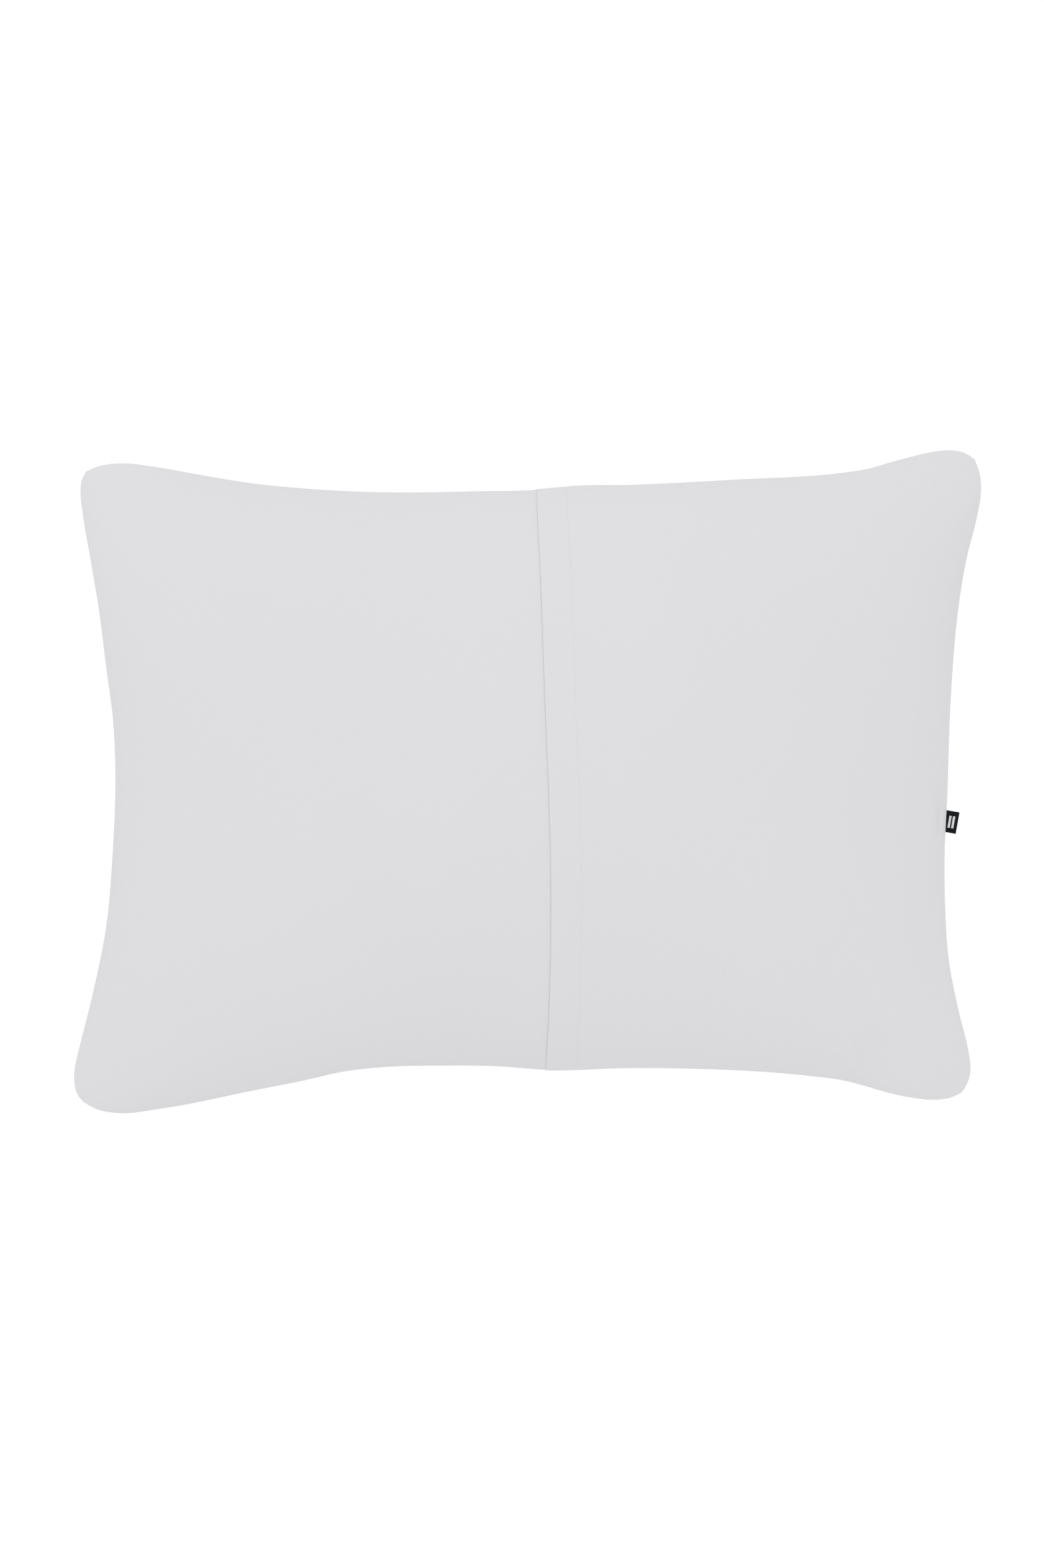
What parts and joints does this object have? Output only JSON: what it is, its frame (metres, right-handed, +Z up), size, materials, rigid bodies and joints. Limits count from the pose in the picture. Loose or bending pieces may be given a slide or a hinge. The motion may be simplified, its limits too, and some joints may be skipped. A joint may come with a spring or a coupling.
{
  "type": "bed pillow",
  "caption": "Plump rectangular bed pillow in a smooth pale grey case with an overlapping envelope opening down the middle and a small woven tab in one side seam.",
  "frame": {"origin": "on the table, under the middle of the pillow's overall box", "axes": "+X along the long side towards the side with the woven tab, +Y along the short side, +Z up out of the closure side"},
  "size_m": [0.688, 0.5028, 0.1696],
  "materials": {
    "case_fabric": "smooth close cotton weave, pale cool grey, matt with a faint sheen",
    "case_thread": "spun polyester thread matched to the case",
    "label_weave": "dense near-black woven ribbon",
    "care_label_satin": "blank white satin ribbon",
    "ticking_fabric": "white non-woven ticking",
    "polyester_fibre": "white crimped fibre filling"
  },
  "bodies": {
    "pillow": {"case_right_panel": "case_fabric", "case_left_panel": "case_fabric", "case_back_panel": "case_fabric", "hem_ends": "case_fabric", "underlap_hem": "case_fabric", "hem_end_stitch": "case_thread", "underlap_hem_stitch": "case_thread", "seam_top": "case_thread", "seam_right": "case_thread", "seam_bottom": "case_thread", "seam_left": "case_thread", "label_tail": "label_weave", "label_stitch": "case_thread", "care_label": "care_label_satin", "ticking_top": "ticking_fabric", "ticking_bottom": "ticking_fabric", "ticking_seam": "ticking_fabric", "ticking_closing_stitch": "case_thread", "fibre_fill": "polyester_fibre"},
    "flap": {"closure_flap": "case_fabric", "flap_hem": "case_fabric", "flap_hem_stitch": "case_thread"},
    "label": {"woven_label": "label_weave"}
  },
  "joints": [
    {"name": "flap_hinge", "type": "hinge", "parent": "pillow", "child": "flap", "pos_m": [0.088, 0, 0.1654], "axis": [0, 1, 0], "range_deg": [0, 30]},
    {"name": "label_hinge", "type": "hinge", "parent": "pillow", "child": "label", "pos_m": [0.3178, -0.03, 0.072], "axis": [0, 1, 0], "range_deg": [-55, 55], "stiffness_Nm_per_rad": 0.001}
  ]
}
